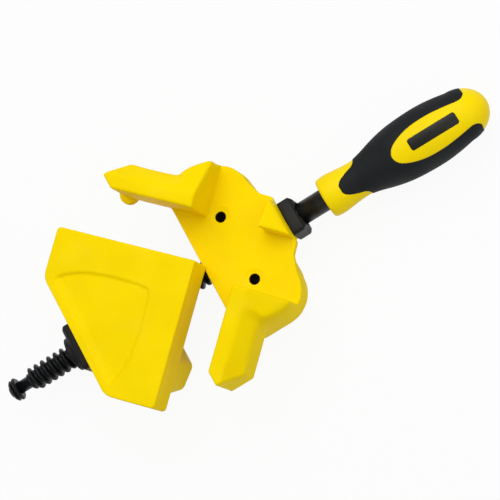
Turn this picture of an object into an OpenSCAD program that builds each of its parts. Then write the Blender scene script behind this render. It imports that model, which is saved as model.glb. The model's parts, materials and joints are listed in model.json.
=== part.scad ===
// Corner clamp: a fixed jaw with two fences at right angles, and a movable jaw drawn up by a screw.
// Frame: origin on the bench, midway between the two bench holes; +X along the spindle to the handle, +Z up.

/* [Levels] */
// Height of the spindle axis above the bench
axis_h = 18; // [17.5:0.5:24]
// Roof of the fixed jaw above the spindle's axis, up to the plate's top
roof_rise = 9.5; // [9:0.25:14]
// Running gap between the plate and the movable jaw
jaw_gap = 0.4; // [0.3:0.1:1]
// Height of the movable jaw's faces
jaw_t = 20; // [14:0.5:26]
// Height of the fences above the plate
fence_h = 28; // [20:0.5:36]

/* [Fixed jaw] */
// Distance from the hole line to the corner where the fences meet
corner_x = 17.5; // [14:0.5:22]
// Clear run along each fence, from the corner to the arm
throat = 34; // [28:0.5:38]
// Distance from the hole line to the plate's front edge
plate_front = 21.5; // [17:0.5:26]
// Spacing of the bench holes
hole_spacing = 40; // [34:1:44]
// Diameter of the bench holes
hole_d = 6; // [4:0.5:7]
// Diameter of the shallow seat round each bench hole
seat_d = 11; // [9:0.5:13]
// Depth of the shallow seat round each bench hole
seat_depth = 0.5; // [0.2:0.1:1]
// Diameter of the bosses under the bench holes
boss_d = 15; // [11:0.5:16]
// Width of each arm across its fence
arm_w = 16.5; // [13:0.5:22]
// Width of the flat on top of each arm
arm_flat = 8; // [5:0.5:11]
// Fall of each arm's sloping side
arm_fall = 10.5; // [6:0.5:14]
// Width of the flat on top of the rib at each arm's root
root_flat = 9; // [6:0.5:12]
// Run of the rib's slope along the arm
root_run = 16; // [8:1:20]
// Height left at the foot of the rib's slope
root_foot = 9; // [4:0.5:12]
// Height of the rib above the plate, at its outer end
root_end = 15; // [6:0.5:18]
// Reach of the rib from the fence to its outer end
root_reach = 28; // [24:0.5:34]
// Distance from the hole line to the arms' front ends
tip_x = 40.3; // [34:0.1:46]
// Half width over the arms' ends
tip_y = 67; // [62:0.5:74]
// Diameter of the rest under each arm's end
rest_d = 11.4; // [8:0.2:13]
// Depth of the rest below the plate's top
rest_depth = 4; // [3:0.5:8]
// Distance from the arm's front end back to the rest's middle
rest_back = 1.7; // [0:0.1:3]
// Distance from the fence back to the rest's middle
rest_in = 2.2; // [1:0.2:4]
// Half width over the lobes
lobe_y = 48; // [46:0.5:54]
// Radius of the lobes
lobe_r = 18; // [14:0.5:20]
// Distance from the hole line to the flat back
back_x = 30; // [28:0.5:36]
// Half width of the flat back
back_half = 14.5; // [13:0.5:18]
// Height of the wedge above the plate, at its nose
wedge_nose = 16; // [6:0.5:18]
// Height of the wedge above the plate, at the back
wedge_back = 9; // [4:0.5:12]
// Thickness of the plate's web at the back
web_t = 4; // [3:0.25:6]
// Depth of the plate's rim
rim_t = 14; // [8:0.5:18]
// Distance from the hole line back to the end of the rim
rim_end = 22.5; // [22:0.25:24]
// Distance from the rim in to the plinth below it
plinth_inset = 5; // [2:0.5:7]
// Distance from the hole line to the plinth's back
plinth_back = 20; // [18:0.5:21.5]
// Wall of the plinth
wall = 4; // [2.5:0.25:6]
// Distance from the lobes' middle to the flat back
lobe_back = 26; // [22:0.5:30]
// Run of the back's slanted corners along the spindle
back_run = 5; // [3:0.5:7]
// Run of the back's slanted corners across the spindle
back_rise = 5.5; // [3:0.5:7]
// Thickness of the back wall that holds the bearing
back_wall = 8; // [6:0.5:8.5]
// Width of the neck that holds the bearing
neck_w = 21; // [20:0.5:24]

/* [Spindle] */
// Outer diameter of the thread
thread_d = 14; // [13.5:0.25:15]
// Diameter of the smooth shank
shank_d = 12.5; // [10:0.25:13]
// Distance from the hole line to the thread's far end
thread_end = 140; // [130:1:150]
// Diameter of the spindle's thin end, past the thread
tail_d = 7; // [5:0.5:9]
// Length of the thin end between the thread and the stop washer
tail_run = 7; // [4:0.5:12]
// Diameter of the stop washer
stop_d = 13.4; // [11:0.2:16]
// Thickness of the stop washer
stop_t = 2.4; // [1.5:0.1:4]
// Diameter of the end clip
clip_d = 12.5; // [9:0.5:13]
// Thickness of the end clip
clip_t = 2; // [1:0.1:3]
// Length of the spindle's tail past the end clip
tail = 1.2; // [0.5:0.1:3]
// Length of the spindle inside the handle
socket_depth = 52; // [30:1:70]
// Distance from the handle's front to the flats that key the spindle into it
key_from = 10; // [5:1:20]
// Width over the flats that key the spindle into the handle
key_w = 9.5; // [8:0.25:9.75]

/* [Bearing] */
// Width of the bearing block
bearing_w = 20.5; // [19:0.5:24]
// Height of the bearing block
bearing_h = 16.5; // [16.5:0.25:19]
// Length of the bearing block outside the fixed jaw
bearing_t = 8.5; // [7:0.5:12]
// Bevel of the bearing block's edges
bearing_bevel = 2; // [1:0.25:3]
// Diameter of the bearing's spigot
spigot_d = 15.5; // [15:0.25:16.5]
// Diameter of the counterbore for the retaining ring
counter_d = 14.6; // [14.2:0.1:15]
// Thickness of the thrust washers
washer_t = 1.5; // [1:0.1:2]
// Outer diameter of the thrust washers
washer_d = 14; // [13.6:0.1:14]
// Thickness of the retaining ring
ring_t = 1.2; // [0.8:0.1:1.8]
// Depth of the retaining ring's groove in the shank
groove = 0.75; // [0.4:0.05:1.2]
// Depth of the retaining ring below the bearing's end
ring_sink = 1; // [0.2:0.1:2]
// Diameter of the lock pins
pin_d = 3; // [2:0.25:4]
// Wall left between a lock pin and the spindle
pin_wall = 0.5; // [0.3:0.1:1]
// Depth of each lock pin's end below the surface it goes in from
pin_sink = 0.5; // [0.2:0.1:1]

/* [Movable jaw] */
// Distance from the hole line to the movable jaw's nose, as shown
nose_x = 19.5; // [18:0.5:40]
// Half width over the movable jaw
jaw_half = 58; // [50:0.5:64]
// Length of the movable jaw's square ends
jaw_end = 29; // [20:0.5:34]
// Rounding of the movable jaw's nose
nose_round = 1; // [0.5:0.25:3]
// Rounding of the movable jaw's outer corners
jaw_round = 2; // [1:0.25:4]
// Rounding of the movable jaw's back corners
back_round = 9; // [4.5:0.5:12]
// Wall of the movable jaw
jaw_wall = 4; // [2.5:0.25:5]
// Thickness of the movable jaw's top
jaw_top = 4; // [3:0.25:6]
// Distance from the nose back to the skirt's front
skirt_set = 38.5; // [30:0.5:44]
// Half width of the skirt
skirt_half = 45; // [38:0.5:48]
// Run of the skirt's slanted front corners along the spindle
skirt_run = 11; // [6:0.5:16]
// Run of the skirt's slanted front corners across the spindle
skirt_rise = 8.5; // [5:0.5:14]
// Rounding of the skirt's front corners
skirt_round = 4.5; // [4.25:0.25:6]
// Gap between the skirt and the bench
skirt_lift = 0.6; // [0.3:0.1:2]
// Depth of the panel in the top
panel_depth = 1.6; // [0.8:0.1:2.4]
// Distance from the nose back to the panel's front corner
panel_set = 28; // [22:0.5:36]
// Half width of the panel at the back
panel_half = 34; // [26:0.5:36]
// Rim left between the panel and the back
panel_rim = 4; // [3:0.25:8]
// Rounding of the panel's corners
panel_round = 4; // [2:0.5:6]
// Largest rounding of the panel's shoulders
panel_shoulder = 20; // [6:1:24]

/* [Jaw nut] */
// Diameter of the nut's body
nut_d = 22; // [19:0.5:24]
// Length of the nut's body inside the jaw
nut_run = 24; // [16:0.5:30]
// Width of the nut's flange
flange_w = 28; // [24:0.5:32]
// Height of the nut's flange
flange_h = 24; // [22:0.5:26]
// Thickness of the nut's flange
flange_t = 10; // [3:0.25:12]
// Diameter of the nut's hub
hub_d = 20; // [17:0.5:22]
// Length of the nut's hub past the flange
hub_run = 3; // [1:0.25:5]
// Wall of the jaw round the nut
nut_wall = 4.5; // [3:0.25:6]

/* [Handle] */
// Distance from the hole line to the handle's front
handle_x = 54; // [50:0.5:70]
// Length of the handle
handle_l = 101; // [90:1:120]
// Largest diameter of the handle
handle_d = 33.8; // [28:0.2:35]
// Thickness of the soft grip
grip_t = 1.8; // [1:0.1:2.5]
// Turn of the handle as shown, about the spindle
handle_turn = 17; // [0:1:90]

/* [Fits] */
// Radial running fit of the spindle in its bearing and nut
run_fit = 0.08; // [0.03:0.01:0.1]
// Clearance round the spindle where it only passes through
pass_gap = 1; // [0.5:0.1:2]

/* [Hidden] */
$fn = 64;
yellow = [1, 0.86, 0];
dark_steel = [0.2, 0.21, 0.22];
black_plastic = [0.1, 0.1, 0.1];
rubber = [0.13, 0.14, 0.15];
bright_steel = [0.7, 0.7, 0.72];
cut = 0.1;
// How deep forms of one piece run into each other
join = 0.5;
// Share of an inset by which a 45 degree corner moves along its edge
corner_share = tan(22.5);
plate_h = axis_h + roof_rise;
fence_top = plate_h + fence_h;
ceiling = axis_h + thread_d / 2 + jaw_gap;
channel_half = thread_d / 2 + 2 * pass_gap;
jaw_base = plate_h + jaw_gap;
jaw_head = jaw_base + jaw_t;
jaw_back = nose_x + jaw_half + jaw_end / sqrt(2);
jaw_back_half = jaw_half - jaw_end / sqrt(2);
skirt_front = nose_x + skirt_set;
panel_run = jaw_back - panel_rim - nose_x - panel_set - panel_half;
// The shoulders are as round as the panel's straight sides leave room for
panel_bend = min(panel_shoulder, (panel_run - panel_round) / corner_share - cut);
bearing_end = back_x + bearing_t;
spigot_end = back_x - back_wall;
counter_depth = washer_t + ring_t + ring_sink;
ring_x = bearing_end - counter_depth + washer_t;
shoulder_x = spigot_end - washer_t;
nut_front = jaw_back - nut_run;
flange_back = jaw_back + flange_t;
stop_x = thread_end + tail_run;
clip_x = stop_x + stop_t;
handle_r = handle_d / 2;
nut_pin_x = jaw_back - nut_run / 2;
bearing_pin_x = back_x - back_wall / 2;

// Plan outlines
function unit(v) = v / norm(v);
function arc(c, r, from, to, n) = [for (k = [0:n]) c + r * [cos(from + (to - from) * k / n),
                                                           sin(from + (to - from) * k / n)]];
// Points that round the corner p between its neighbours a and b
function corner(a, p, b, r, n = 6) =
    let (u = unit(a - p), v = unit(b - p), half = acos(u * v) / 2)
    let (c = p + unit(u + v) * r / sin(half), s = p + u * r / tan(half) - c, e = p + v * r / tan(half) - c)
    [for (k = [0:n]) c + r * unit(s * (1 - k / n) + e * k / n)];
function rounded(pts, radii) =
    let (n = len(pts))
    [for (i = [0:n - 1]) each corner(pts[(i + n - 1) % n], pts[i], pts[(i + 1) % n], radii[i])];
function mirrored(half) = concat(half, [for (i = [len(half) - 1:-1:0]) [half[i][0], -half[i][1]]]);

// Half outlines of the fixed jaw: its front and lobe drawn in by an inset, the whole plate, and the plinth
function lobe_half(inset) = concat(
    [[-plate_front + inset, corner_x + plate_front - corner_share * inset],
     [lobe_y - corner_x - 2 * plate_front + corner_share * inset, lobe_y - inset]],
    arc([back_x - lobe_back, lobe_y - lobe_r], lobe_r - inset, 90, 0, 10));
plate_half = concat(lobe_half(0), [[back_x - back_run, back_half + back_rise], [back_x, back_half]]);
function plinth_half(inset) = concat(lobe_half(inset), [[plinth_back + plinth_inset - inset, back_half]]);

// Outline of the movable jaw seen from above
jaw_outline = [[-nose_x, 0], [-nose_x - jaw_half, jaw_half], [-jaw_back, jaw_back_half],
               [-jaw_back, -jaw_back_half], [-nose_x - jaw_half, -jaw_half]];
function jaw_inset(i) = [[-nose_x - i * sqrt(2), 0], [-nose_x - jaw_half, jaw_half - i * sqrt(2)],
                         [-jaw_back + i, jaw_back_half - corner_share * i],
                         [-jaw_back + i, -jaw_back_half + corner_share * i],
                         [-nose_x - jaw_half, -jaw_half + i * sqrt(2)]];
function skirt_half_outline(i) = [[-skirt_front - i, skirt_half - skirt_rise - corner_share * i],
                                  [-skirt_front - skirt_run - corner_share * i, skirt_half - i],
                                  [-jaw_back + i, jaw_back_half - i]];
function skirt_radii(r) = [r, r, back_round - skirt_round + r, back_round - skirt_round + r, r, r];

// A cylinder along the spindle, between two places on it
module on_axis(x0, x1, d) {
    translate([x0, 0, axis_h]) rotate([0, 90, 0]) cylinder(d = d, h = x1 - x0);
}
module washer(x0, x1, d, bore) {
    difference() {
        on_axis(x0, x1, d);
        on_axis(x0 - cut, x1 + cut, bore);
    }
}
// A block on the spindle's axis, with bevelled edges on its outer end
module bevelled_block(x0, x1, w, h, bevel) {
    intersection() {
        translate([x0, 0, axis_h]) rotate([0, 90, 0]) linear_extrude(x1 - x0)
            polygon(rounded([[h / 2, w / 2], [-h / 2, w / 2], [-h / 2, -w / 2], [h / 2, -w / 2]],
                            [bevel, bevel, bevel, bevel]));
        translate([0, 0, axis_h - h / 2]) linear_extrude(h)
            polygon([[x0, w / 2], [x1 - bevel, w / 2], [x1, w / 2 - bevel], [x1, -w / 2 + bevel],
                     [x1 - bevel, -w / 2], [x0, -w / 2]]);
        translate([0, w / 2, axis_h]) rotate([90, 0, 0]) linear_extrude(w)
            polygon([[x0, h / 2], [x1 - bevel, h / 2], [x1, h / 2 - bevel], [x1, -h / 2 + bevel],
                     [x1 - bevel, -h / 2], [x0, -h / 2]]);
    }
}

// One arm with its fence, on the +Y side
module arm() {
    reach = (tip_x + tip_y) * sqrt(2);
    foot = plate_h - join;
    root_far = throat + root_flat + root_run;
    // The rib falls to the arm in a hollow curve
    hollow_fall = [for (a = [0:10:90]) [root_far - root_run * cos(a),
                                        fence_top - (fence_h - root_foot) * sin(a)]];
    intersection() {
        translate([corner_x, 0, 0]) rotate([0, 0, 135]) translate([throat, 0, 0])
            rotate([90, 0, 90]) linear_extrude(reach)
                polygon([[0, foot], [0, fence_top], [-arm_flat, fence_top], [-arm_w, fence_top - arm_fall],
                         [-arm_w, foot]]);
        translate([-tip_x, 0, 0]) cube([tip_x + corner_x + throat, tip_y, fence_top + cut]);
    }
    intersection() {
        translate([corner_x, 0, 0]) rotate([0, 0, 135]) rotate([90, 0, 0]) linear_extrude(reach)
            polygon(concat([[throat, foot], [throat, fence_top]], hollow_fall, [[root_far, foot]]));
        translate([corner_x, 0, 0]) rotate([0, 0, 135]) rotate([90, 0, 90]) linear_extrude(reach)
            polygon([[0, foot], [0, fence_top], [-arm_flat, fence_top], [-root_reach, plate_h + root_end],
                     [-2 * root_reach, plate_h + root_end], [-2 * root_reach, foot]]);
        linear_extrude(fence_top + cut) polygon(mirrored(plate_half));
    }
    translate([rest_back - tip_x, corner_x + tip_x - rest_back + rest_in * sqrt(2), plate_h - rest_depth])
        cylinder(d = rest_d, h = rest_depth);
}

module fixed_jaw() color(yellow) difference() {
    union() {
        difference() {
            union() {
                translate([0, 0, plate_h - web_t]) linear_extrude(web_t) polygon(mirrored(plate_half));
                intersection() {
                    translate([0, 0, plate_h - rim_t]) linear_extrude(rim_t - cut)
                        polygon(mirrored(plate_half));
                    translate([-plate_front - cut, -lobe_y - cut, 0])
                        cube([plate_front + rim_end + cut, 2 * lobe_y + 2 * cut, plate_h]);
                }
                linear_extrude(plate_h - cut) polygon(mirrored(plinth_half(plinth_inset)));
                // Neck round the bearing, from the plinth to the flat back
                translate([plinth_back - wall, 0, 0]) rotate([90, 0, 90])
                    linear_extrude(back_x - plinth_back + wall)
                        polygon(concat(arc([0, axis_h], neck_w / 2, 180, 360, 16),
                                       [[neck_w / 2, plate_h - cut], [-neck_w / 2, plate_h - cut]]));
            }
            // Side pockets under the plate, with a wall on each side of the spindle's channel
            for (side = [0, 1]) mirror([0, side, 0]) intersection() {
                translate([0, 0, -cut]) linear_extrude(ceiling + cut)
                    polygon(mirrored(plinth_half(plinth_inset + wall)));
                translate([-plate_front, channel_half + wall, -cut])
                    cube([plate_front + spigot_end, lobe_y, ceiling + cut]);
            }
            translate([-plate_front - cut, -channel_half, -cut])
                cube([plate_front + spigot_end + cut, 2 * channel_half, ceiling + cut]);
        }
        for (side = [-1, 1]) translate([0, side * hole_spacing / 2, 0])
            cylinder(d = boss_d, h = plate_h - cut);
        // Wedge that carries the fences past the corner
        intersection() {
            linear_extrude(plate_h + wedge_nose) polygon([[corner_x, 0], [back_x, back_x - corner_x],
                                                          [back_x, corner_x - back_x]]);
            translate([0, lobe_y, 0]) rotate([90, 0, 0]) linear_extrude(2 * lobe_y)
                polygon([[corner_x, plate_h - join], [corner_x, plate_h + wedge_nose],
                         [back_x, plate_h + wedge_back], [back_x, plate_h - join]]);
        }
        for (side = [0, 1]) mirror([0, side, 0]) arm();
    }
    for (side = [-1, 1]) translate([0, side * hole_spacing / 2, 0]) {
        translate([0, 0, -cut]) cylinder(d = hole_d, h = plate_h + 2 * cut);
        translate([0, 0, plate_h - seat_depth]) cylinder(d = seat_d, h = seat_depth + cut);
    }
    on_axis(spigot_end - cut, back_x + cut, spigot_d);
    translate([bearing_pin_x, 0, -cut]) cylinder(d = pin_d, h = axis_h);
}

module spindle_bearing() color(black_plastic) difference() {
    union() {
        bevelled_block(back_x, bearing_end, bearing_w, bearing_h, bearing_bevel);
        on_axis(spigot_end, back_x + cut, spigot_d);
    }
    on_axis(spigot_end - cut, bearing_end + cut, shank_d + 2 * run_fit);
    on_axis(bearing_end - counter_depth, bearing_end + cut, counter_d);
    translate([bearing_pin_x, 0, 0]) cylinder(d = pin_d, h = axis_h - shank_d / 2 - pin_wall);
}

module bearing_lock_pin() color(bright_steel) translate([bearing_pin_x, 0, axis_h - neck_w / 2 + pin_sink])
    cylinder(d = pin_d, h = neck_w / 2 - shank_d / 2 - pin_wall - pin_sink);

// What is cut off the spindle's handle end to leave two flats that key it
module key_flats() {
    for (side = [0, 1]) translate([handle_x + key_from, 0, axis_h]) rotate([handle_turn, 0, 0])
        mirror([0, 0, side]) translate([0, -shank_d, key_w / 2]) cube([socket_depth, 2 * shank_d, shank_d]);
}
module spindle() color(dark_steel) difference() {
    union() {
        on_axis(-clip_x - clip_t - tail, -thread_end + cut, tail_d);
        on_axis(-thread_end, shoulder_x, thread_d);
        on_axis(shoulder_x - cut, handle_x + socket_depth, shank_d);
    }
    washer(ring_x, ring_x + ring_t, shank_d + 2 * join, shank_d - 2 * groove);
    key_flats();
}

module inner_thrust_washer() color(bright_steel)
    washer(shoulder_x, spigot_end, thread_d, shank_d + 2 * run_fit);
module outer_thrust_washer() color(bright_steel)
    washer(ring_x - washer_t, ring_x, washer_d, shank_d + 2 * run_fit);
module retaining_ring() color(dark_steel) washer(ring_x, ring_x + ring_t, washer_d, shank_d - 2 * groove);
module stop_washer() color(dark_steel) washer(-clip_x, -stop_x, stop_d, tail_d);
module end_clip() color(dark_steel) washer(-clip_x - clip_t, -clip_x, clip_d, tail_d);

module movable_jaw() color(yellow) difference() {
    nut_block = nut_d + 2 * nut_wall;
    union() {
        difference() {
            translate([0, 0, jaw_base]) linear_extrude(jaw_t)
                polygon(rounded(jaw_outline, [nose_round, jaw_round, back_round, back_round, jaw_round]));
            translate([0, 0, jaw_base - cut]) linear_extrude(jaw_t - jaw_top + cut)
                polygon(jaw_inset(jaw_wall));
        }
        // Skirt below the block
        difference() {
            translate([0, 0, skirt_lift]) linear_extrude(jaw_head - jaw_top - skirt_lift + cut)
                polygon(rounded(mirrored(skirt_half_outline(0)), skirt_radii(skirt_round)));
            translate([0, 0, -cut]) linear_extrude(jaw_head)
                polygon(rounded(mirrored(skirt_half_outline(jaw_wall)), skirt_radii(skirt_round - jaw_wall)));
        }
        // Block that holds the nut
        translate([-jaw_back + join, -nut_block / 2, skirt_lift])
            cube([nut_run + nut_wall - join, nut_block, jaw_head - jaw_top - skirt_lift + cut]);
    }
    on_axis(-jaw_back - cut, -nut_front, nut_d);
    on_axis(-nut_front - cut, -nose_x + cut, thread_d + 2 * pass_gap);
    translate([-nut_pin_x, 0, 0]) cylinder(d = pin_d, h = axis_h);
    // Panel sunk into the top
    translate([0, 0, jaw_head - panel_depth]) linear_extrude(panel_depth + cut)
        polygon(rounded([[-nose_x - panel_set, 0], [-nose_x - panel_set - panel_half, panel_half],
                         [-jaw_back + panel_rim, panel_half], [-jaw_back + panel_rim, -panel_half],
                         [-nose_x - panel_set - panel_half, -panel_half]],
                        [panel_round, panel_bend, panel_round, panel_round, panel_bend]));
}

module jaw_nut() color(black_plastic) difference() {
    union() {
        on_axis(-jaw_back - cut, -nut_front, nut_d);
        mirror([1, 0, 0]) bevelled_block(jaw_back, flange_back, flange_w, flange_h, bearing_bevel);
        on_axis(-flange_back - hub_run, -jaw_back, hub_d);
    }
    on_axis(-flange_back - hub_run - cut, -nut_front + cut, thread_d + 2 * run_fit);
    translate([-nut_pin_x, 0, 0]) cylinder(d = pin_d, h = axis_h - thread_d / 2 - pin_wall);
}

module nut_lock_pin() color(bright_steel) translate([-nut_pin_x, 0, skirt_lift + pin_sink])
    cylinder(d = pin_d, h = axis_h - thread_d / 2 - pin_wall - pin_sink - skirt_lift);

// Handle profile: places along the handle, as shares of its length, and radii there, as shares of the largest
stations = [[0.012, 0.672], [0.05, 0.69], [0.1, 0.668], [0.15, 0.632], [0.2, 0.615], [0.23, 0.625],
            [0.28, 0.69], [0.355, 0.82], [0.43, 0.92], [0.505, 0.975], [0.6, 1], [0.68, 0.99],
            [0.76, 0.935], [0.83, 0.86]];
butt_from = 0.83;
front_share = 0.64;
function spline(a, b, c, d, t) = 0.5 * (2 * b + (c - a) * t + (2 * a - 5 * b + 4 * c - d) * t * t
                                        + (3 * b - a - 3 * c + d) * t * t * t);
function station(i) = stations[max(0, min(len(stations) - 1, i))];
// Radius and place of the handle's skin, from the front bead to the round butt
function handle_skin(inset) = concat(
    [for (i = [0:len(stations) - 2]) for (k = [0:3])
        let (p = spline(station(i - 1), station(i), station(i + 1), station(i + 2), k / 4))
        [p[1] * handle_r - inset, p[0] * handle_l]],
    [for (k = [0:10]) let (a = 90 * k / 10)
        [max(0, station(len(stations) - 1)[1] * (handle_r - inset) * cos(a)),
         (butt_from + (1 - butt_from) * sin(a)) * handle_l - inset * sin(a)]]);
module handle_solid(inset) {
    translate([handle_x, 0, axis_h]) rotate([handle_turn, 0, 0]) rotate([0, 90, 0]) rotate_extrude()
        polygon(concat([[0, inset], [front_share * handle_r - inset, inset]], handle_skin(inset)));
}
// Side view of the soft grip: a tongue in front, and a window that opens into the butt
tongue = [[0.104, 0.12], [0.115, 0.22], [0.137, 0.31], [0.18, 0.41], [0.207, 0.46], [0.224, 0.53],
          [0.23, 0.7], [0.23, 2], [1, 2]];
window = [[0.43, 0.12], [0.455, 0.3], [0.52, 0.47], [0.6, 0.575], [0.7, 0.585], [0.8, 0.52], [0.88, 0.44],
          [0.905, 0.49], [0.918, 0.6], [0.912, 0.8], [0.91, 2], [2, 2]];
function side_points(list) = [for (p = list) [p[0] * handle_l, p[1] * handle_r]];
module grip_view() difference() {
    polygon(mirrored(side_points(tongue)));
    polygon(mirrored(side_points(window)));
}
module grip_region() {
    translate([handle_x, 0, axis_h]) rotate([handle_turn, 0, 0]) translate([0, 0, -handle_d])
        linear_extrude(2 * handle_d) grip_view();
}
module handle_grip() color(rubber) difference() {
    intersection() {
        handle_solid(0);
        grip_region();
    }
    handle_solid(grip_t);
}
module handle_core() color(yellow) difference() {
    handle_solid(0);
    difference() {
        grip_region();
        handle_solid(grip_t);
    }
    difference() {
        on_axis(handle_x - cut, handle_x + socket_depth, shank_d);
        key_flats();
    }
}

fixed_jaw();
spindle_bearing();
bearing_lock_pin();
spindle();
inner_thrust_washer();
outer_thrust_washer();
retaining_ring();
stop_washer();
end_clip();
movable_jaw();
jaw_nut();
nut_lock_pin();
handle_core();
handle_grip();
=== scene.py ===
import json
import math

import bmesh
import bpy
import numpy as np
from mathutils import Matrix, Vector


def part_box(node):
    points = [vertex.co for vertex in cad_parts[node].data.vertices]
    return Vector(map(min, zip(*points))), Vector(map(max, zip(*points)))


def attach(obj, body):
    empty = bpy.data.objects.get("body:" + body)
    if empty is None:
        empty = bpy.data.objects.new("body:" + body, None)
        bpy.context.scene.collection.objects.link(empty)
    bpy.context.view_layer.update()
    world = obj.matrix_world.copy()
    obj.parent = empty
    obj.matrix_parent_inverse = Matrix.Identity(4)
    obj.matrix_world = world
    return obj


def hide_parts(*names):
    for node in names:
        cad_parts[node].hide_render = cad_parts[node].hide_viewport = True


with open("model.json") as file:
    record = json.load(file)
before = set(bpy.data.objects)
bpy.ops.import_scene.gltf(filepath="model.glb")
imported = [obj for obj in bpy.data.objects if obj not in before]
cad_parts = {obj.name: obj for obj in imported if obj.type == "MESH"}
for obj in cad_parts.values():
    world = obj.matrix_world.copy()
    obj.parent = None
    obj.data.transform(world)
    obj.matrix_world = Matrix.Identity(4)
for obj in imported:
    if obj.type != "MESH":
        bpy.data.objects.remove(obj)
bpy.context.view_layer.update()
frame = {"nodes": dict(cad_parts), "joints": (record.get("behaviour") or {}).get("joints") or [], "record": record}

MM = 0.001
IMAGE_SIZE = 500
SENSOR_MM = 36.0

# Camera, fitted to the photograph: place in mm, its own axes as rows, and its focal length in pixels
CAMERA_PLACE = Vector((198.1, -342.3, 1128.9))
CAMERA_RIGHT = Vector((0.83935, -0.46106, -0.28793))
CAMERA_DOWN = Vector((-0.51800, -0.83902, -0.16649))
CAMERA_FOCAL_PX = 2167.3

# Screw, from the record: the height of its axis, and the pitch that its turns give the jaw
SCREW_JOINT = next(joint for joint in frame["joints"] if joint["name"] == "spindle_turn")
SCREW_COUPLING = next(c for c in frame["record"]["behaviour"]["couplings"] if c["joint"] == "spindle_turn")
AXIS_HEIGHT = SCREW_JOINT["pos_m"][2] / MM
THREAD_PITCH = 2 * math.pi / SCREW_COUPLING["ratio"] / MM

# Thread's form: its start, crest, flanks and lead-in in turns, its crown as a share of its depth, and the
# rest in mm
THREAD_START = 0.594
CREST_SHARE = 0.32
FLANK_SHARE = 0.22
THREAD_LEAD = 0.6
CREST_CROWN = 0.16
THREAD_DEPTH = 2.3
THREAD_RUN_OUT = 0.8
LEAD_SINK = 0.4
RINGS_PER_TURN = 18

# Spindle's plain parts, in mm
SHANK_RADIUS = 6.25
SHANK_CHAMFER = 0.8
TAIL_RADIUS = 3.5
TAIL_CHAMFER = 0.5
TAIL_RUN = 7.0
TAIL_STEP = 0.6
DISC_BEVEL = 0.95
DISC_EDGE = 0.15
ROD_SIDES = 56
ROD_POINT = 0.01

# Soft edges of the mouldings: voxel sizes in mm, and rounds of smoothing
JAW_VOXEL = 0.55
BEARING_VOXEL = 0.3
NUT_VOXEL = 0.35
FIXED_JAW_ROUNDS = 8
MOVABLE_JAW_ROUNDS = 6
BLOCK_ROUNDS = 5
SMOOTHING = 0.5

# Fixed jaw, in mm: its plate's top, and its bench holes with the shallow seats round them
BENCH_HOLES = next(mount for mount in frame["record"]["mounts"] if mount["name"] == "bench_holes")["dims"]
HOLE_SPACING = BENCH_HOLES["spacing_y_mm"]
HOLE_RADIUS = BENCH_HOLES["hole_r_mm"]
# Margin round the bench holes' bores and below their seats, within which the walls get painted shade
PAINTED_SHADE_MARGIN = 0.3
SEAT_DEPTH = 0.5
PLATE_TOP = 27.5

# Arms and ribs of the fixed jaw, in mm
FENCE_CORNER = 17.5
FENCE_TOP = 55.5
ARM_WIDTH = 16.5
ARM_FLAT = 8.0
ARM_FALL = 10.5
RIB_DROP = 19.0
RIB_REACH = 28.0
RIB_END = 42.5
# Where each rib's fall starts and ends along its fence: in the solid, and as drawn here
RIB_RUN_SOLID = (43.0, 59.0)
RIB_RUN_DRAWN = (46.0, 60.5)

# Softened regions of the fixed jaw: heights above the plate, runs behind and along the fences, and the
# lengths over which the softness fades, in mm; shares that are kept at crisp edges; and rounds of smoothing
NO_LIMIT = math.inf
HEIGHT_FADE = 2.0
ARM_SOFT_ABOVE = 3.5
ARM_SOFT_BEHIND = 4.5
ARM_SOFT_ALONG = 72.0
ARM_FADE_BEHIND = 3.0
ARM_FADE_ALONG = 6.0
FENCE_EDGE_SHARE = 0.35
ARM_END_SHARE = 0.2
ARM_ROUNDS = 45
RIB_SOFT_ABOVE = 4.0
RIB_FADE_BEHIND = 4.0
RIB_FADE_ALONG = 6.0
RIB_FOOT = ((8.0, 32.0), (42.0, 68.0))
RIB_FOOT_ROUNDS = 140
RIB_BACK = ((20.0, 32.0), (22.0, 44.0))
RIB_BACK_ROUNDS = 60
WEDGE_SOFT_ABOVE = 3.0
WEDGE_FRONT = FENCE_CORNER - 1
WEDGE_FRONT_FADE = 1.0
WEDGE_HALF = 14.0
WEDGE_HALF_FADE = 2.0
WEDGE_ROUNDS = 40

# Panel in the movable jaw's top, in mm: its depth, the runs of its edges, and half of its outline from the
# front; its slope is the share of the depth that is lost from the back to the front
PANEL_DEPTH = 1.6
PANEL_SLOPE = 0.4
PANEL_WALL = 2.0
PANEL_SCOOP = 6.0
PANEL_FILL_GAP = 0.01
PANEL_SKIN = 0.5
PANEL_EDGE = [(-48.8, 0.0), (-49.4, 1.8), (-53.3, 7.1), (-64.9, 19.1), (-76.2, 28.3), (-86.1, 33.3),
              (-91.5, 34.4), (-94.2, 33.4), (-95.0, 31.0)]

# Handle, in mm: its front, its length and its largest radius; stations are shares of these
HANDLE_FRONT = 54.0
HANDLE_LENGTH = 101.0
HANDLE_RADIUS = 16.9
HANDLE_TURN = math.radians(17)
STATIONS = [(0.012, 0.672), (0.05, 0.69), (0.1, 0.668), (0.15, 0.632), (0.2, 0.615), (0.23, 0.625),
            (0.28, 0.69), (0.355, 0.82), (0.43, 0.92), (0.505, 0.975), (0.6, 1.0), (0.68, 0.99),
            (0.76, 0.935), (0.83, 0.86)]
FRONT_FACE_SHARE = 0.64
TONGUE = [(0.104, 0.0), (0.104, 0.12), (0.115, 0.22), (0.137, 0.31), (0.18, 0.41), (0.207, 0.46),
          (0.224, 0.53), (0.23, 0.62), (0.23, 0.8)]
WINDOW = [(0.43, 0.0), (0.437, 0.14), (0.46, 0.3), (0.52, 0.465), (0.6, 0.565), (0.7, 0.575), (0.8, 0.51),
          (0.872, 0.445), (0.902, 0.48), (0.917, 0.58), (0.912, 0.72)]
BUTT_STEPS = 26
HANDLE_SIDES = 176
HANDLE_STEP = 0.6
HANDLE_POINT = 0.02

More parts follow.
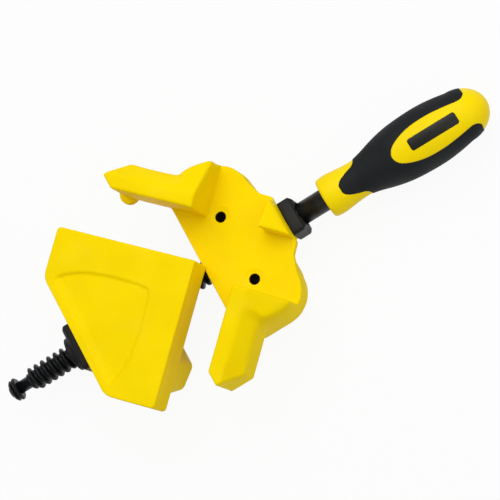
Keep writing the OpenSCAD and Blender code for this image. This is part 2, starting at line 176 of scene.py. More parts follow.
# Soft grip and the seat it lies in, in mm
GRIP_PROUD = 0.35
GRIP_SINK = 0.15
GRIP_ROLL = 0.8
GRIP_THICK = 1.2
SEAT_SINK = 0.5
SEAT_ROLL = 0.7

# Handle's inlay, in mm
INLAY_LENGTH = 29.5
INLAY_WIDTH = 7.2
INLAY_CORNER = 1.6
INLAY_PROUD = 0.22
INLAY_SINK = 0.06
INLAY_ROLL = 0.5
INLAY_THICK = 0.4
INLAY_COLUMNS = 56
INLAY_LANES = 16
INLAY_MIDDLE = 0.684 * HANDLE_LENGTH
INLAY_TURN = math.radians(-2.3)

# Ranges of the finishes' masks, and their shares in colour, gloss and relief
MOTTLE_RANGE = (0.3, 0.7)
EDGE_BREAKS = (0.35, 0.65)
# Painted shade: the range of hollowness over which inner corners are darkened
CORNER_SHADE_RANGE = (0.515, 0.56)
DUST_FACING = (0.2, 1.0)
DUST_PATCHES = (0.45, 0.8)
MOTTLE_TINT = 0.95
MOTTLE_GLOSS = 0.12
# Share of the darker corner colour that is painted into inner corners as shade
CORNER_SHADE_SHARE = 0.5
DUST_GLOSS = 0.3
GRAIN_STRENGTH = 0.35

# Stage, in metres and watts
FLOOR_HALF = 3.0
FLOOR_DROP = 0.0002
FLOOR_GREY = 0.75
FLOOR_GLOW_SHARE = 0.93
SKY_STRENGTH = 0.48
KEY_LIGHT = {"place": (0.2, 0.55, 1.2), "target": (-0.02, 0.0, 0.02), "size": 1.3, "watts": 10.0}
FILL_LIGHT = {"place": (0.7, -0.5, 0.8), "target": (0.0, 0.0, 0.02), "size": 0.9, "watts": 1.9}


# Mesh helpers

def object_from(name, mesh):
    piece = bpy.data.objects.new(name, mesh)
    bpy.context.scene.collection.objects.link(piece)
    return piece


def object_from_bmesh(name, bm, merge=1e-7):
    bmesh.ops.remove_doubles(bm, verts=bm.verts, dist=merge)
    bmesh.ops.recalc_face_normals(bm, faces=bm.faces)
    mesh = bpy.data.meshes.new(name)
    bm.to_mesh(mesh)
    bm.free()
    mesh.polygons.foreach_set("use_smooth", [True] * len(mesh.polygons))
    return object_from(name, mesh)


def with_modifiers_applied(piece):
    bpy.context.view_layer.update()
    evaluated = piece.evaluated_get(bpy.context.evaluated_depsgraph_get())
    mesh = bpy.data.meshes.new_from_object(evaluated)
    piece.modifiers.clear()
    piece.data = mesh
    mesh.polygons.foreach_set("use_smooth", [True] * len(mesh.polygons))
    return piece


def moulded_copy(node, name, voxel, rounds, reshape=None):
    """The node's own form with the soft edges of a moulding: remeshed at voxel mm and smoothed."""
    bm = bmesh.new()
    bm.from_mesh(frame["nodes"][node].data)
    if reshape:
        reshape(bm)
    piece = object_from_bmesh(name, bm, merge=2e-6)
    remesh = piece.modifiers.new("remesh", "REMESH")
    remesh.mode = "VOXEL"
    remesh.voxel_size = voxel * MM
    smooth = piece.modifiers.new("smooth", "SMOOTH")
    smooth.factor = SMOOTHING
    smooth.iterations = rounds
    return with_modifiers_applied(piece)


def softened(piece, weight_of, rounds):
    """Rounds the edges further where weight_of, given a point in mm, is above 0."""
    soft = piece.vertex_groups.new(name="soft")
    for vertex in piece.data.vertices:
        weight = weight_of(vertex.co / MM)
        if weight > 0:
            soft.add([vertex.index], min(weight, 1.0), "REPLACE")
    smooth = piece.modifiers.new("soften", "SMOOTH")
    smooth.vertex_group = soft.name
    smooth.factor = SMOOTHING
    smooth.iterations = rounds
    with_modifiers_applied(piece)
    piece.vertex_groups.clear()
    return piece


def on_axis(x, radius, angle):
    """A point round the spindle, in metres; angle 0 is up and grows towards -Y."""
    return Vector((x, -radius * math.sin(angle), AXIS_HEIGHT + radius * math.cos(angle))) * MM


def turned_disc(node, name, sides=72):
    """The node's disc round the spindle's tail, with bevelled rims."""
    low, high = (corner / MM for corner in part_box(node))
    radius = (high.z - low.z) / 2
    bm = bmesh.new()
    rings = []
    for x, r in ((low.x, TAIL_RADIUS), (low.x, radius - DISC_BEVEL), (low.x + DISC_BEVEL, radius),
                 (high.x - DISC_BEVEL, radius), (high.x, radius - DISC_BEVEL), (high.x, TAIL_RADIUS)):
        rings.append([bm.verts.new(on_axis(x, r, 2 * math.pi * k / sides)) for k in range(sides)])
    skin(bm, rings + rings[:1])
    piece = object_from_bmesh(name, bm)
    bevel = piece.modifiers.new("bevel", "BEVEL")
    bevel.width = DISC_EDGE * MM
    bevel.segments = 2
    bevel.limit_method = "ANGLE"
    return with_modifiers_applied(piece)


def skin(bm, rings):
    sides = len(rings[0])
    for a, b in zip(rings, rings[1:]):
        for k in range(sides):
            n = (k + 1) % sides
            bm.faces.new((a[k], a[n], b[n], b[k]))


def settle(piece, body, nodes, material):
    piece.data.materials.clear()
    piece.data.materials.append(material)
    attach(piece, body)
    if nodes:
        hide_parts(*nodes)
    return piece


# Shared effects for the finishes

def new_group(name, inputs, outputs):
    group = bpy.data.node_groups.new(name, "ShaderNodeTree")
    for label, default in inputs:
        socket = group.interface.new_socket(name=label, in_out="INPUT", socket_type="NodeSocketFloat")
        socket.default_value = default
    for label in outputs:
        group.interface.new_socket(name=label, in_out="OUTPUT", socket_type="NodeSocketFloat")
    return group, group.nodes.new("NodeGroupInput"), group.nodes.new("NodeGroupOutput")


def math_node(tree, operation, *values):
    node = tree.nodes.new("ShaderNodeMath")
    node.operation = operation
    for socket, value in zip(node.inputs, values):
        if isinstance(value, (int, float)):
            socket.default_value = value
        else:
            tree.links.new(value, socket)
    return node.outputs[0]


def noise_node(tree, scale, detail=3.0):
    where = tree.nodes.new("ShaderNodeTexCoord")
    noise = tree.nodes.new("ShaderNodeTexNoise")
    noise.inputs["Detail"].default_value = detail
    tree.links.new(where.outputs["Object"], noise.inputs["Vector"])
    if isinstance(scale, (int, float)):
        noise.inputs["Scale"].default_value = scale
    else:
        tree.links.new(scale, noise.inputs["Scale"])
    return noise.outputs["Fac"]


def ramp_node(tree, value, low, high):
    node = tree.nodes.new("ShaderNodeMapRange")
    node.interpolation_type = "SMOOTHSTEP"
    tree.links.new(value, node.inputs["Value"])
    for label, bound in (("From Min", low), ("From Max", high)):
        if isinstance(bound, (int, float)):
            node.inputs[label].default_value = bound
        else:
            tree.links.new(bound, node.inputs[label])
    return node.outputs["Result"]


def make_moulded_grain():
    """Fine pebbled grain of a moulded surface, and a broad mottle of its gloss."""
    group, given, gives = new_group("moulded_grain", [("Grain Scale", 2600.0), ("Mottle Scale", 45.0)],
                                    ["Height", "Mottle"])
    fine = noise_node(group, given.outputs["Grain Scale"], 2.0)
    broad = noise_node(group, given.outputs["Mottle Scale"], 4.0)
    group.links.new(fine, gives.inputs["Height"])
    group.links.new(ramp_node(group, broad, *MOTTLE_RANGE), gives.inputs["Mottle"])
    return group


def make_edge_wear_and_corner_shade():
    """Masks for worn outer edges, broken up by noise, and for painted shade in inner corners."""
    inputs = [("Edge From", 0.52), ("Edge To", 0.6), ("Break Scale", 160.0)]
    group, given, gives = new_group("edge_wear_corner_shade", inputs, ["Edge", "Corner"])
    form = group.nodes.new("ShaderNodeNewGeometry").outputs["Pointiness"]
    edge = ramp_node(group, form, given.outputs["Edge From"], given.outputs["Edge To"])
    breaks = ramp_node(group, noise_node(group, given.outputs["Break Scale"], 5.0), *EDGE_BREAKS)
    group.links.new(math_node(group, "MULTIPLY", edge, breaks), gives.inputs["Edge"])
    # Painted shade: hollow places, where the surface folds inwards, are marked for darkening
    corner = ramp_node(group, math_node(group, "SUBTRACT", 1.0, form), *CORNER_SHADE_RANGE)
    group.links.new(corner, gives.inputs["Corner"])
    return group


def make_dust():
    """Fine dust that settles on faces that look up, in patches."""
    group, given, gives = new_group("settled_dust", [("Patch Scale", 70.0)], ["Dust"])
    facing = group.nodes.new("ShaderNodeSeparateXYZ")
    group.links.new(group.nodes.new("ShaderNodeNewGeometry").outputs["Normal"], facing.inputs[0])
    up = ramp_node(group, facing.outputs["Z"], *DUST_FACING)
    patches = ramp_node(group, noise_node(group, given.outputs["Patch Scale"], 6.0), *DUST_PATCHES)
    group.links.new(math_node(group, "MULTIPLY", up, patches), gives.inputs["Dust"])
    return group


MOULDED_GRAIN = make_moulded_grain()
EDGE_WEAR_AND_CORNER_SHADE = make_edge_wear_and_corner_shade()
SETTLED_DUST = make_dust()


def placed_group(tree, group, **values):
    node = tree.nodes.new("ShaderNodeGroup")
    node.node_tree = group
    for label, value in values.items():
        node.inputs[label.replace("_", " ")].default_value = value
    return node


def linear(r, g, b):
    """A colour written as 0 to 255 on screen."""
    shares = (c / 255 for c in (r, g, b))
    return tuple(((s + 0.055) / 1.055) ** 2.4 if s > 0.04045 else s / 12.92 for s in shares) + (1.0,)


def mixed_colour(tree, mask, colour, other):
    node = tree.nodes.new("ShaderNodeMix")
    node.data_type = "RGBA"
    tree.links.new(mask, node.inputs["Factor"])
    for socket, value in ((node.inputs[6], colour), (node.inputs[7], other)):
        if isinstance(value, tuple):
            socket.default_value = value
        else:
            tree.links.new(value, socket)
    return node.outputs[2]


def finish_material(name, colour, edge_colour, corner_shade_colour, dust_colour, rough, specular, grain_scale,
                    grain_depth, mottle_scale, metallic=0.0, edge_share=0.5, dust_share=0.2):
    """A finish with grain, mottled gloss, worn edges, painted shade in inner corners and a little dust."""
    material = bpy.data.materials.new(name)
    material.use_nodes = True
    tree = material.node_tree
    shader = tree.nodes["Principled BSDF"]
    grain = placed_group(tree, MOULDED_GRAIN, Grain_Scale=grain_scale, Mottle_Scale=mottle_scale)
    wear_and_shade = placed_group(tree, EDGE_WEAR_AND_CORNER_SHADE)
    dust = placed_group(tree, SETTLED_DUST)
    deeper = tuple(MOTTLE_TINT * c for c in colour[:3]) + (1.0,)
    tint = mixed_colour(tree, grain.outputs["Mottle"], colour, deeper)
    edge = math_node(tree, "MULTIPLY", wear_and_shade.outputs["Edge"], edge_share)
    tint = mixed_colour(tree, edge, tint, edge_colour)
    # Painted shade: inner corners are mixed towards the darker corner colour
    corner = math_node(tree, "MULTIPLY", wear_and_shade.outputs["Corner"], CORNER_SHADE_SHARE)
    tint = mixed_colour(tree, corner, tint, corner_shade_colour)
    dusty = math_node(tree, "MULTIPLY", dust.outputs["Dust"], dust_share)
    tint = mixed_colour(tree, dusty, tint, dust_colour)
    tree.links.new(tint, shader.inputs["Base Color"])
    gloss = math_node(tree, "MULTIPLY_ADD", grain.outputs["Mottle"], MOTTLE_GLOSS, rough)
    gloss = math_node(tree, "MULTIPLY_ADD", dusty, DUST_GLOSS, gloss)
    tree.links.new(gloss, shader.inputs["Roughness"])
    bump = tree.nodes.new("ShaderNodeBump")
    bump.inputs["Strength"].default_value = GRAIN_STRENGTH
    bump.inputs["Distance"].default_value = grain_depth * MM
    tree.links.new(grain.outputs["Height"], bump.inputs["Height"])
    tree.links.new(bump.outputs["Normal"], shader.inputs["Normal"])
    shader.inputs["Metallic"].default_value = metallic
    shader.inputs["Specular IOR Level"].default_value = specular
    return material


# Each finish's third colour is the darker tone that is painted into inner corners as shade
YELLOW_MOULDING = finish_material(
    "yellow_moulding", linear(255, 222, 0), linear(255, 234, 70), linear(214, 172, 0), linear(236, 214, 90),
    rough=0.42, specular=0.025, grain_scale=2400.0, grain_depth=0.12, mottle_scale=40.0, edge_share=0.2,
    dust_share=0.05)
HANDLE_YELLOW = finish_material(
    "handle_yellow", linear(255, 224, 0), linear(255, 234, 70), linear(214, 172, 0), linear(236, 214, 90),
    rough=0.32, specular=0.08, grain_scale=3200.0, grain_depth=0.05, mottle_scale=40.0, edge_share=0.2,
    dust_share=0.05)
SOFT_GRIP = finish_material(
    "soft_grip", linear(24, 27, 30), linear(44, 47, 50), linear(12, 13, 14), linear(58, 58, 57),
    rough=0.62, specular=0.2, grain_scale=5200.0, grain_depth=0.10, mottle_scale=60.0, dust_share=0.12)
BLACK_MOULDING = finish_material(
    "black_moulding", linear(18, 18, 17), linear(42, 42, 41), linear(8, 8, 8), linear(50, 50, 48),
    rough=0.45, specular=0.25, grain_scale=3000.0, grain_depth=0.08, mottle_scale=60.0, dust_share=0.12)
DARK_STEEL = finish_material(
    "dark_steel", linear(31, 33, 36), linear(76, 79, 83), linear(10, 11, 12), linear(44, 44, 43),
    rough=0.32, specular=0.4, grain_scale=3800.0, grain_depth=0.05, mottle_scale=120.0, metallic=0.75,
    dust_share=0.1)
BRIGHT_STEEL = finish_material(
    "bright_steel", linear(190, 192, 196), linear(220, 222, 226), linear(90, 90, 92), linear(160, 158, 150),
    rough=0.3, specular=0.5, grain_scale=3800.0, grain_depth=0.04, mottle_scale=120.0, metallic=0.9,
    dust_share=0.1)
INLAY_BLACK = finish_material(
    "inlay_black", linear(22, 21, 14), linear(42, 41, 34), linear(11, 10, 8), linear(52, 50, 44),
    rough=0.3, specular=0.3, grain_scale=3000.0, grain_depth=0.03, mottle_scale=80.0, dust_share=0.08)
# Painted shade: a near-black brown for the bench holes' walls, standing in for the shade inside the deep bores
PAINTED_BORE_SHADE = finish_material(
    "painted_bore_shade", linear(34, 26, 2), linear(52, 42, 4), linear(16, 12, 0), linear(40, 32, 6),
    rough=0.7, specular=0.1, grain_scale=2400.0, grain_depth=0.05, mottle_scale=80.0, dust_share=0.05)


# Handle form

def spline(a, b, c, d, t):
    """A point at share t between b and c on the smooth line through a, b, c and d."""
    bend = (2 * a - 5 * b + 4 * c - d) * t * t
    return 0.5 * (2 * b + (c - a) * t + bend + (3 * b - a - 3 * c + d) * t ** 3)


def smooth_line(points, steps):
    """A smooth line through the points."""
    pts = [np.array(p, float) for p in points]
    line = []
    for i in range(len(pts) - 1):
        a, b, c, d = pts[max(i - 1, 0)], pts[i], pts[i + 1], pts[min(i + 2, len(pts) - 1)]
        line += [spline(a, b, c, d, k / steps) for k in range(steps)]
    return np.array(line + [pts[-1]])


def handle_profile():
    """Place along the handle and radius there, in mm, from the front bead to the butt."""
    body = smooth_line(STATIONS, 12) * (HANDLE_LENGTH, HANDLE_RADIUS)
    start, radius = STATIONS[-1][0] * HANDLE_LENGTH, STATIONS[-1][1] * HANDLE_RADIUS
    angles = np.linspace(0, math.pi / 2, BUTT_STEPS)[1:]
    butt = np.stack([start + (HANDLE_LENGTH - start) * np.sin(angles), radius * np.cos(angles)], 1)
    return np.concatenate([body, butt])


def mirrored_outline(half):
    return np.concatenate([half, (half * (1, -1))[::-1]])


def signed_distance(outline, points):
    """Distance from each point to a closed outline, above 0 inside it."""
    a, b = outline, np.roll(outline, -1, 0)
    along = b - a
    best = np.full(len(points), 1e9)
    inside = np.zeros(len(points), bool)
    for p, v in zip(a, along):
        rel = points - p
        t = np.clip((rel @ v) / max(v @ v, 1e-12), 0, 1)
        best = np.minimum(best, np.linalg.norm(rel - t[:, None] * v, axis=1))
        crosses = (points[:, 1] >= p[1]) != (points[:, 1] >= p[1] + v[1])
        with np.errstate(divide="ignore", invalid="ignore"):
            at = p[0] + (points[:, 1] - p[1]) * v[0] / v[1]
        inside ^= crosses & (points[:, 0] < at)
    return np.where(inside, best, -best)


def grip_cover(points):
    """How far each point of the handle's side view lies inside the soft grip, in mm."""
    def outline(half, far):
        wide = HANDLE_RADIUS * 2
        line = smooth_line(half, 6) * (HANDLE_LENGTH, HANDLE_RADIUS)
        return mirrored_outline(np.concatenate([line, [(half[-1][0] * HANDLE_LENGTH, wide), (far, wide)]]))

    covered = signed_distance(outline(TONGUE, HANDLE_LENGTH * 2), points)
    open_part = signed_distance(outline(WINDOW, HANDLE_LENGTH * 4), points)
    return np.minimum(covered, -open_part)


HANDLE_SKIN = handle_profile()


def even_skin(step):
    """The handle's profile at even steps along its own length."""
    seg = np.linalg.norm(np.diff(HANDLE_SKIN, axis=0), axis=1)
    run = np.concatenate([[0], np.cumsum(seg)])
    at = np.linspace(0, run[-1], int(run[-1] / step) + 1)
    return np.stack([np.interp(at, run, HANDLE_SKIN[:, 0]), np.interp(at, run, HANDLE_SKIN[:, 1])], 1)


def handle_grid():
    """Rows of the handle's skin: place, radius, angle, and how far inside the grip each point lies."""
    rows = even_skin(HANDLE_STEP)
    angles = np.arange(HANDLE_SIDES) * 2 * math.pi / HANDLE_SIDES
    s = np.repeat(rows[:, 0], HANDLE_SIDES).reshape(len(rows), HANDLE_SIDES)
    r = np.repeat(rows[:, 1], HANDLE_SIDES).reshape(len(rows), HANDLE_SIDES)
    view = np.stack([s.ravel(), (r * np.sin(angles)).ravel()], 1)
    return rows, angles, s, r, grip_cover(view).reshape(s.shape)


def handle_point(s, r, angle):
    return on_axis(HANDLE_FRONT + s, r, angle + HANDLE_TURN)


def build_handle_core(grid):
    """Turned yellow core with a shallow step where the grip lies in it."""
    rows, angles, s, r, cover = grid
    sink = SEAT_SINK * np.clip(cover / SEAT_ROLL, 0, 1) ** 2
    bm = bmesh.new()
    rings = [[bm.verts.new(handle_point(0, HANDLE_POINT, a)) for a in angles],
             [bm.verts.new(handle_point(0, FRONT_FACE_SHARE * HANDLE_RADIUS, a)) for a in angles]]
    for i in range(len(rows)):
        rings.append([bm.verts.new(handle_point(s[i, k], max(r[i, k] - sink[i, k], 0.0), a))
                      for k, a in enumerate(angles)])
    skin(bm, rings)
    return object_from_bmesh("handle_moulding", bm, merge=5e-6)


def cut_corner(p, q):
    """The point between two skin points where the grip's edge crosses."""
    t = p[3] / (p[3] - q[3])
    return tuple(p[j] + t * (q[j] - p[j]) for j in range(3)) + (0.0,)


def covered_part(corners):
    """The part of a skin face that lies inside the grip."""
    part = []
    for p, q in zip(corners, corners[1:] + corners[:1]):
        if p[3] >= 0:
            part.append(p)
        if (p[3] >= 0) != (q[3] >= 0):
            part.append(cut_corner(p, q))
    return part


def rolled_edge(share):
    """Height of a rounded edge, from 0 at its foot to 1 where it ends."""
    return math.sqrt(1 - (1 - min(share, 1)) ** 2)


def build_handle_grip(grid):
    """Soft overmould: the covered part of the handle's skin, a little proud, with a rolled edge."""
    rows, angles, s, r, cover = grid
    bm = bmesh.new()
    step = 2 * math.pi / HANDLE_SIDES
    for i in range(len(rows) - 1):
        for k in range(HANDLE_SIDES):
            n = (k + 1) % HANDLE_SIDES
            corners = [(s[a, b], r[a, b], angle, cover[a, b]) for a, b, angle in
                       ((i, k, angles[k]), (i, n, angles[k] + step), (i + 1, n, angles[k] + step),
                        (i + 1, k, angles[k]))]
            if max(c[3] for c in corners) <= 0:
                continue
            part = covered_part(corners)
            if len(part) < 3:
                continue
            faces = []
            for place, radius, angle, inside in part:
                rise = GRIP_PROUD * rolled_edge(inside / GRIP_ROLL) - GRIP_SINK
                faces.append(bm.verts.new(handle_point(place, radius + rise, angle)))
            bm.faces.new(faces)
    piece = object_from_bmesh("grip_overmould", bm, merge=2e-5)
    shell = piece.modifiers.new("thickness", "SOLIDIFY")
    shell.thickness = GRIP_THICK * MM
    shell.offset = -1.0
    return with_modifiers_applied(piece)


def skin_radius(s):
    return float(np.interp(s, HANDLE_SKIN[:, 0], HANDLE_SKIN[:, 1]))


def build_inlay():
    """Bare dark inlay with round corners, curved with the window's skin."""
    length, width = INLAY_LENGTH / 2, INLAY_WIDTH / 2
    bm = bmesh.new()
    grid = []
    for i in range(INLAY_COLUMNS + 1):
        u = length * (2 * i / INLAY_COLUMNS - 1)
        reach = max(abs(u) - (length - INLAY_CORNER), 0.0)
        half = width - INLAY_CORNER + math.sqrt(max(INLAY_CORNER ** 2 - reach ** 2, 0.0))
        row = []
        for j in range(INLAY_LANES + 1):
            v = half * (2 * j / INLAY_LANES - 1)
            edge = min(length - abs(u), half - abs(v))
            rise = INLAY_PROUD * rolled_edge(max(edge, 0.0) / INLAY_ROLL) - INLAY_SINK
            s = INLAY_MIDDLE + u
            radius = skin_radius(s)
            row.append(bm.verts.new(handle_point(s, radius + rise, INLAY_TURN + math.asin(v / radius))))
        grid.append(row)
    for a, b in zip(grid, grid[1:]):
        for j in range(INLAY_LANES):
            bm.faces.new((a[j], a[j + 1], b[j + 1], b[j]))
    piece = object_from_bmesh("handle_inlay", bm)
    shell = piece.modifiers.new("thickness", "SOLIDIFY")
    shell.thickness = INLAY_THICK * MM
    shell.offset = -1.0
    return with_modifiers_applied(piece)


# Spindle with its thread

def thread_height(phase):
    """Share of the thread's full depth at a phase from 0 to 1 along one pitch."""
    from_crest = abs(phase - 0.5)
    crest, flank = CREST_SHARE / 2, FLANK_SHARE
    if from_crest <= crest:
        return 1.0 - CREST_CROWN * (from_crest / crest) ** 2
    if from_crest >= crest + flank:
        return 0.0
    t = (from_crest - crest) / flank
    return (1.0 - CREST_CROWN) * (0.5 + 0.5 * math.cos(math.pi * t))


def build_spindle():
    """Black oxide rod: turned-down tail, coarse right-hand thread, and a smooth shank into the handle."""
    low, high = (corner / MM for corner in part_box("spindle"))
    crest = (high.y - low.y) / 2
    thread_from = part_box("stop_washer")[1].x / MM + TAIL_RUN
    thread_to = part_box("inner_thrust_washer")[0].x / MM
    root = crest - THREAD_DEPTH
    bm = bmesh.new()
    rings = []

    def ring(x, radius_of):
        angles = [2 * math.pi * k / ROD_SIDES for k in range(ROD_SIDES)]
        rings.append([bm.verts.new(on_axis(x, radius_of(angle), angle)) for angle in angles])

    for x, radius in ((low.x, ROD_POINT), (low.x, TAIL_RADIUS - TAIL_CHAMFER),
                      (low.x + TAIL_CHAMFER, TAIL_RADIUS), (thread_from - TAIL_STEP, TAIL_RADIUS)):
        ring(x, lambda angle, radius=radius: radius)
    count = int((thread_to - thread_from) / THREAD_PITCH * RINGS_PER_TURN)
    for i in range(count + 1):
        x = thread_from + (thread_to - thread_from) * i / count
        lead = min((x - thread_from) / (THREAD_LEAD * THREAD_PITCH), (thread_to - x) / THREAD_RUN_OUT, 1.0)

        def radius_of(angle, x=x, lead=lead):
            phase = (x / THREAD_PITCH - angle / (2 * math.pi) + THREAD_START) % 1.0
            return root - LEAD_SINK * (1 - lead) + THREAD_DEPTH * thread_height(phase) * lead

        ring(x, radius_of)
    for x, radius in ((thread_to, SHANK_RADIUS), (high.x - SHANK_CHAMFER, SHANK_RADIUS),
                      (high.x, SHANK_RADIUS - SHANK_CHAMFER), (high.x, ROD_POINT)):
        ring(x, lambda angle, radius=radius: radius)
    skin(bm, rings)
    return object_from_bmesh("threaded_rod", bm, merge=1e-6)


# Pieces

def within(value, low, high, blend):
    """1 between low and high, falling to 0 over blend mm outside them."""
    return max(0.0, min(1.0, 1 + (value - low) / blend, 1 + (high - value) / blend))


def from_fence(p):
    """How far a point lies behind its side's fence, and how far along it from the corner."""
    return ((p.x + abs(p.y) - FENCE_CORNER) / math.sqrt(2), (FENCE_CORNER - p.x + abs(p.y)) / math.sqrt(2))


def arm_height(behind, along, run):
    """Height of an arm and its rib, whose hollow fall takes the given run along the fence."""
    start, end = run
    past_flat = max(behind - ARM_FLAT, 0.0)
    fall = FENCE_TOP - RIB_DROP * math.sqrt(1 - min(max((end - along) / (end - start), 0.0), 1.0) ** 2)
    slope = FENCE_TOP - (FENCE_TOP - RIB_END) * min(past_flat / (RIB_REACH - ARM_FLAT), 1.0)
    arm = FENCE_TOP - ARM_FALL * past_flat / (ARM_WIDTH - ARM_FLAT) if behind < ARM_WIDTH else 0.0
    return max(min(fall, slope), arm)


def fuller_ribs(jaw):
    """Raises the ribs' crests, which reach further along the arms in the photograph than in the solid."""
    for vertex in jaw.data.vertices:
        p = vertex.co / MM
        behind, along = from_fence(p)
        if p.z > PLATE_TOP and behind > 0 and RIB_RUN_SOLID[0] < along < RIB_RUN_DRAWN[1]:
            solid = arm_height(behind, along, RIB_RUN_SOLID) - PLATE_TOP
            drawn = arm_height(behind, along, RIB_RUN_DRAWN) - PLATE_TOP
            vertex.co.z = (PLATE_TOP + (p.z - PLATE_TOP) * drawn / solid) * MM


def above_plate(p, height):
    """1 from the given height above the plate."""
    return within(p.z, PLATE_TOP + height, NO_LIMIT, HEIGHT_FADE)


def arm_softness(p):
    """Soft above the plate, but crisp at the fences' own edges and the arms' ends."""
    behind, along = from_fence(p)
    off_fence = max(within(behind, ARM_SOFT_BEHIND, NO_LIMIT, ARM_FADE_BEHIND), FENCE_EDGE_SHARE)
    off_end = max(within(along, -NO_LIMIT, ARM_SOFT_ALONG, ARM_FADE_ALONG), ARM_END_SHARE)
    return above_plate(p, ARM_SOFT_ABOVE) * off_fence * off_end


def rib_softness(region):
    """Soft in a region of the ribs, given as its runs behind and along the fences."""
    def softness(p):
        behind, along = from_fence(p)
        across = within(behind, *region[0], RIB_FADE_BEHIND)
        return above_plate(p, RIB_SOFT_ABOVE) * across * within(along, *region[1], RIB_FADE_ALONG)

    return softness


def wedge_softness(p):
    """Soft on the corner wedge."""
    front = within(p.x, WEDGE_FRONT, NO_LIMIT, WEDGE_FRONT_FADE)
    return above_plate(p, WEDGE_SOFT_ABOVE) * front * within(abs(p.y), 0, WEDGE_HALF, WEDGE_HALF_FADE)


def build_fixed_jaw():
    """Arms, ribs and wedge with soft edges above the plate, and painted shade on the walls of the bench holes."""
    jaw = moulded_copy("fixed_jaw", "fixed_jaw_moulding", JAW_VOXEL, FIXED_JAW_ROUNDS)
    fuller_ribs(jaw)
    softened(jaw, arm_softness, ARM_ROUNDS)
    softened(jaw, rib_softness(RIB_FOOT), RIB_FOOT_ROUNDS)
    softened(jaw, rib_softness(RIB_BACK), RIB_BACK_ROUNDS)
    softened(jaw, wedge_softness, WEDGE_ROUNDS)
    settle(jaw, "fixed_body", ["fixed_jaw"], YELLOW_MOULDING)
    # Painted shade: the faces of the bench holes' walls below the seats take the near-black bore material
    jaw.data.materials.append(PAINTED_BORE_SHADE)
    for face in jaw.data.polygons:
        x, y, z = face.center / MM
        off = math.hypot(x, abs(y) - HOLE_SPACING / 2)
        if off < HOLE_RADIUS + PAINTED_SHADE_MARGIN and z < PLATE_TOP - SEAT_DEPTH - PAINTED_SHADE_MARGIN:
            face.material_index = 1


def smooth_step(t):
    t = np.clip(t, 0, 1)
    return t * t * (3 - 2 * t)


def panel_depth(points):
    """Depth of the panel at points of the jaw's top: scooped at the back, shallower towards the front."""
    inside = signed_distance(mirrored_outline(smooth_line(PANEL_EDGE, 6)), points)
    front, back = PANEL_EDGE[0][0], PANEL_EDGE[-1][0]
    from_back = points[:, 0] - back
    slope = 1 - PANEL_SLOPE * from_back / (front - back)
    return PANEL_DEPTH * slope * smooth_step(inside / PANEL_WALL) * smooth_step(from_back / PANEL_SCOOP)


def build_movable_jaw():
    """A crisp block, with a panel in its top that is deepest at the back and has soft edges."""
    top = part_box("movable_jaw")[1].z / MM

    def fill_panel(bm):
        for vertex in bm.verts:
            if abs(vertex.co.z / MM - top + PANEL_DEPTH) < PANEL_FILL_GAP:
                vertex.co.z = (top - PANEL_FILL_GAP) * MM

    jaw = moulded_copy("movable_jaw", "movable_jaw_moulding", JAW_VOXEL, MOVABLE_JAW_ROUNDS, fill_panel)
    places = np.empty(3 * len(jaw.data.vertices))
    jaw.data.vertices.foreach_get("co", places)
    places = places.reshape(-1, 3)
    on_top = places[:, 2] > (top - PANEL_SKIN) * MM
    places[on_top, 2] -= panel_depth(places[on_top, :2] / MM) * MM
    jaw.data.vertices.foreach_set("co", places.ravel())
    settle(jaw, "jaw", ["movable_jaw"], YELLOW_MOULDING)


def build_pieces():
    build_fixed_jaw()
    build_movable_jaw()
    bearing = moulded_copy("spindle_bearing", "bearing_moulding", BEARING_VOXEL, BLOCK_ROUNDS)
    settle(bearing, "fixed_body", ["spindle_bearing"], BLACK_MOULDING)
    nut = moulded_copy("jaw_nut", "nut_moulding", NUT_VOXEL, BLOCK_ROUNDS)
    settle(nut, "jaw", ["jaw_nut"], BLACK_MOULDING)
    settle(build_spindle(), "screw", ["spindle"], DARK_STEEL)
    grid = handle_grid()
    settle(build_handle_core(grid), "screw", ["handle_core"], HANDLE_YELLOW)
    settle(build_handle_grip(grid), "screw", ["handle_grip"], SOFT_GRIP)
    settle(build_inlay(), "screw", [], INLAY_BLACK)
    for node, name in (("stop_washer", "stop_disc"), ("end_clip", "end_disc")):
        settle(turned_disc(node, name), "screw", [node], DARK_STEEL)
    for node in ("bearing_lock_pin", "nut_lock_pin", "inner_thrust_washer", "outer_thrust_washer"):
        repaint(node, BRIGHT_STEEL)
    repaint("retaining_ring", DARK_STEEL)


def repaint(node, material):
    mesh = frame["nodes"][node].data
    mesh.materials.clear()
    mesh.materials.append(material)


# Stage

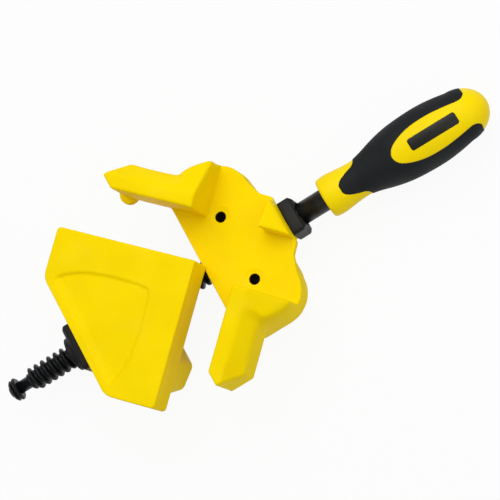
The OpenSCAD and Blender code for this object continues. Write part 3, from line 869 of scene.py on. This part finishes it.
def build_floor():
    """Pale floor that looks white to the camera and keeps a faint shadow."""
    bm = bmesh.new()
    corners = [(-1, -1), (1, -1), (1, 1), (-1, 1)]
    bm.faces.new([bm.verts.new((x * FLOOR_HALF, y * FLOOR_HALF, -FLOOR_DROP)) for x, y in corners])
    floor = object_from_bmesh("floor", bm)
    material = bpy.data.materials.new("pale_floor")
    material.use_nodes = True
    tree = material.node_tree
    tree.nodes.clear()
    diffuse = tree.nodes.new("ShaderNodeBsdfDiffuse")
    diffuse.inputs["Color"].default_value = (FLOOR_GREY, FLOOR_GREY, FLOOR_GREY, 1.0)
    glow = tree.nodes.new("ShaderNodeEmission")
    glow.inputs["Strength"].default_value = 1.0
    light_path = tree.nodes.new("ShaderNodeLightPath")
    rays = [light_path.outputs[label] for label in ("Is Camera Ray", "Is Glossy Ray")]
    share = math_node(tree, "MULTIPLY", math_node(tree, "MAXIMUM", *rays), FLOOR_GLOW_SHARE)
    mix = tree.nodes.new("ShaderNodeMixShader")
    output = tree.nodes.new("ShaderNodeOutputMaterial")
    tree.links.new(share, mix.inputs[0])
    tree.links.new(diffuse.outputs[0], mix.inputs[1])
    tree.links.new(glow.outputs[0], mix.inputs[2])
    tree.links.new(mix.outputs[0], output.inputs["Surface"])
    floor.data.materials.append(material)


def build_light(name, place, target, size, watts):
    data = bpy.data.lights.new(name, "AREA")
    data.shape = "DISK"
    data.size = size
    data.energy = watts
    lamp = bpy.data.objects.new(name, data)
    bpy.context.scene.collection.objects.link(lamp)
    lamp.location = place
    lamp.rotation_euler = (Vector(target) - Vector(place)).to_track_quat("-Z", "Y").to_euler()


def build_world():
    world = bpy.data.worlds.new("studio")
    bpy.context.scene.world = world
    world.use_nodes = True
    sky = world.node_tree.nodes["Background"]
    sky.inputs["Color"].default_value = (1.0, 1.0, 1.0, 1.0)
    sky.inputs["Strength"].default_value = SKY_STRENGTH


def build_camera():
    data = bpy.data.cameras.new("camera")
    data.sensor_width = SENSOR_MM
    data.lens = CAMERA_FOCAL_PX * SENSOR_MM / IMAGE_SIZE
    data.clip_start = 0.05
    camera = bpy.data.objects.new("camera", data)
    bpy.context.scene.collection.objects.link(camera)
    back = CAMERA_RIGHT.cross(-CAMERA_DOWN)
    camera.matrix_world = Matrix.Translation(CAMERA_PLACE * MM) @ Matrix(
        (CAMERA_RIGHT, -CAMERA_DOWN, back)).transposed().to_4x4()
    bpy.context.scene.camera = camera


build_pieces()
build_floor()
build_light("key", **KEY_LIGHT)
build_light("fill", **FILL_LIGHT)
build_world()
build_camera()
bpy.context.scene.view_settings.view_transform = "Standard"
